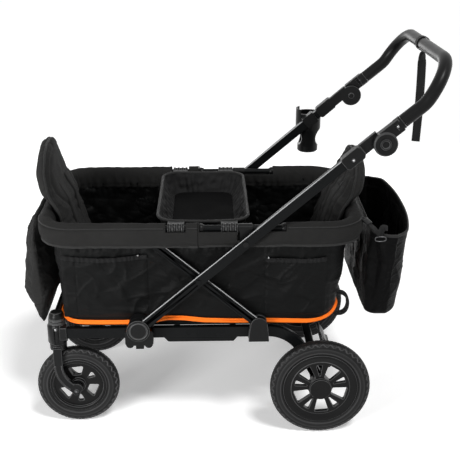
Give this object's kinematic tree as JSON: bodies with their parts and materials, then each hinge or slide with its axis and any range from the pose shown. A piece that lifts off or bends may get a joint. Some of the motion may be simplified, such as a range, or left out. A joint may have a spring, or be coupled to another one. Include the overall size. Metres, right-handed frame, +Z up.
{
  "type": "stroller wagon",
  "caption": "Folding stroller wagon: open fabric basket on a scissor frame with swivel front wheels, large rear wheels and a tilting push handle.",
  "frame": {"origin": "on the floor, at the middle of the part's box seen from above", "axes": "+X backwards towards the push handle, +Y to the right as pushed, +Z up"},
  "size_m": [1.2412, 0.744, 1.1531],
  "materials": {
    "black_tube": "satin black powder coat",
    "black_plastic": "moulded matt",
    "black_cloth": "woven",
    "orange_piping": "woven piping",
    "tyre_rubber": "moulded tread",
    "grip_foam": "smooth foam",
    "floor_panel": "stiff panel",
    "steel_pin": "rivet"
  },
  "bodies": {
    "base": {"rail_left": "black_tube", "rail_right": "black_tube", "front_crossbar": "black_tube", "middle_crossbars": "black_tube", "caster_housing_left": "black_plastic", "caster_housing_right": "black_plastic", "leg_brackets": "black_plastic", "under_rail_bars": "black_plastic", "rear_axle": "black_tube", "rear_struts": "black_tube", "rear_loops": "black_cloth", "floor_board": "floor_panel", "basket": "black_cloth", "basket_piping": "orange_piping", "seat_cushion_front": "black_cloth", "seat_cushion_rear": "black_cloth"},
    "cross_legs": {"cross_leg_left": "black_tube", "cross_leg_right": "black_tube", "cross_pins": "steel_pin"},
    "push_frame": {"push_tube_left": "black_tube", "push_tube_right": "black_tube", "push_hubs": "black_plastic", "lower_knuckles": "black_plastic", "cup_holder": "black_plastic"},
    "rim": {"rim_tube": "black_tube", "rim_cover_front": "black_cloth", "rim_cover_rear": "black_cloth", "rim_pivots": "black_plastic", "tote_bag": "black_cloth", "boot_bag": "black_cloth"},
    "tray_unit": {"tray": "black_cloth", "tray_clips": "black_plastic"},
    "carriages": {"carriage_left": "black_plastic", "carriage_right": "black_plastic"},
    "release_left": {"release_tab_left": "black_plastic"},
    "release_right": {"release_tab_right": "black_plastic"},
    "shoes": {"rim_shoes": "black_plastic"},
    "handlebar": {"handlebar_tube": "black_tube", "handlebar_grip": "grip_foam", "upper_knuckles": "black_plastic", "wrist_strap": "black_cloth"},
    "button_left": {"tilt_button_left": "black_plastic"},
    "button_right": {"tilt_button_right": "black_plastic"},
    "caster_left": {"fork_left": "black_plastic"},
    "caster_right": {"fork_right": "black_plastic"},
    "front_roller_left": {"front_wheel_left": "black_plastic", "front_tyre_left": "tyre_rubber"},
    "front_roller_right": {"front_wheel_right": "black_plastic", "front_tyre_right": "tyre_rubber"},
    "rear_roller_left": {"rear_wheel_left": "black_plastic", "rear_tyre_left": "tyre_rubber"},
    "rear_roller_right": {"rear_wheel_right": "black_plastic", "rear_tyre_right": "tyre_rubber"},
    "brake": {"brake_bar": "black_tube"},
    "back_front": {"seat_back_front": "black_cloth", "harness_front": "black_cloth"},
    "back_rear": {"seat_back_rear": "black_cloth", "harness_rear": "black_cloth"}
  },
  "joints": [
    {"name": "fold", "type": "hinge", "parent": "base", "child": "cross_legs", "pos_m": [0.08888, -0.0385, 0.352], "axis": [0, -1, 0], "range_deg": [0, 30], "deforming": ["basket", "boot_bag"]},
    {"name": "crossing", "type": "hinge", "parent": "cross_legs", "child": "push_frame", "pos_m": [-0.09012, -0.0385, 0.505], "axis": [0, -1, 0], "range_deg": [-61, 1]},
    {"name": "rim_pivot", "type": "hinge", "parent": "push_frame", "child": "rim", "pos_m": [0.04676, -0.0385, 0.622], "axis": [0, -1, 0], "range_deg": [-1, 31]},
    {"name": "carriage_pivot", "type": "hinge", "parent": "push_frame", "child": "carriages", "pos_m": [-0.26912, -0.0385, 0.352], "axis": [0, -1, 0], "range_deg": [-1, 31]},
    {"name": "shoe_pivot", "type": "hinge", "parent": "cross_legs", "child": "shoes", "pos_m": [-0.227, -0.0385, 0.622], "axis": [0, -1, 0], "range_deg": [-31, 1]},
    {"name": "tray_lift", "type": "slide", "parent": "rim", "child": "tray_unit", "axis": [0, 0, 1], "range_m": [0, 0.25]},
    {"name": "handle_tilt", "type": "hinge", "parent": "push_frame", "child": "handlebar", "pos_m": [0.42788, -0.0385, 0.917], "axis": [0, -1, 0], "range_deg": [-40, 70]},
    {"name": "button_left_press", "type": "slide", "parent": "handlebar", "child": "button_left", "axis": [0, 1, 0], "range_m": [0, 0.004], "stiffness_N_per_m": 400, "springref_m": -0.004},
    {"name": "button_right_press", "type": "slide", "parent": "handlebar", "child": "button_right", "axis": [0, -1, 0], "range_m": [0, 0.004], "stiffness_N_per_m": 400, "springref_m": -0.004},
    {"name": "release_left_press", "type": "slide", "parent": "carriages", "child": "release_left", "axis": [0, 0, 1], "range_m": [0, 0.006], "stiffness_N_per_m": 400, "springref_m": -0.004},
    {"name": "release_right_press", "type": "slide", "parent": "carriages", "child": "release_right", "axis": [0, 0, 1], "range_m": [0, 0.006], "stiffness_N_per_m": 400, "springref_m": -0.004},
    {"name": "caster_left_swivel", "type": "hinge", "parent": "base", "child": "caster_left", "pos_m": [-0.52312, -0.2645, 0.3], "axis": [0, 0, 1], "continuous": true},
    {"name": "caster_right_swivel", "type": "hinge", "parent": "base", "child": "caster_right", "pos_m": [-0.52312, 0.1875, 0.3], "axis": [0, 0, 1], "continuous": true},
    {"name": "front_left_roll", "type": "hinge", "parent": "caster_left", "child": "front_roller_left", "pos_m": [-0.46812, -0.2645, 0.127], "axis": [0, 1, 0], "continuous": true},
    {"name": "front_right_roll", "type": "hinge", "parent": "caster_right", "child": "front_roller_right", "pos_m": [-0.46812, 0.1875, 0.127], "axis": [0, 1, 0], "continuous": true},
    {"name": "rear_left_roll", "type": "hinge", "parent": "base", "child": "rear_roller_left", "pos_m": [0.27588, -0.3465, 0.1525], "axis": [0, 1, 0], "continuous": true},
    {"name": "rear_right_roll", "type": "hinge", "parent": "base", "child": "rear_roller_right", "pos_m": [0.27588, 0.2695, 0.1525], "axis": [0, 1, 0], "continuous": true},
    {"name": "brake_press", "type": "hinge", "parent": "base", "child": "brake", "pos_m": [0.30988, -0.0385, 0.1825], "axis": [0, 1, 0], "range_deg": [0, 20]},
    {"name": "front_back_fold", "type": "hinge", "parent": "base", "child": "back_front", "pos_m": [-0.43979, -0.0385, 0.408], "axis": [0, 1, 0], "range_deg": [0, 42]},
    {"name": "rear_back_fold", "type": "hinge", "parent": "base", "child": "back_rear", "pos_m": [0.26245, -0.0385, 0.408], "axis": [0, -1, 0], "range_deg": [0, 42]}
  ],
  "couplings": [
    {"joint": "crossing", "follows": "fold", "ratio": -2},
    {"joint": "rim_pivot", "follows": "fold", "ratio": 1},
    {"joint": "carriage_pivot", "follows": "fold", "ratio": 1},
    {"joint": "shoe_pivot", "follows": "fold", "ratio": -1}
  ]
}
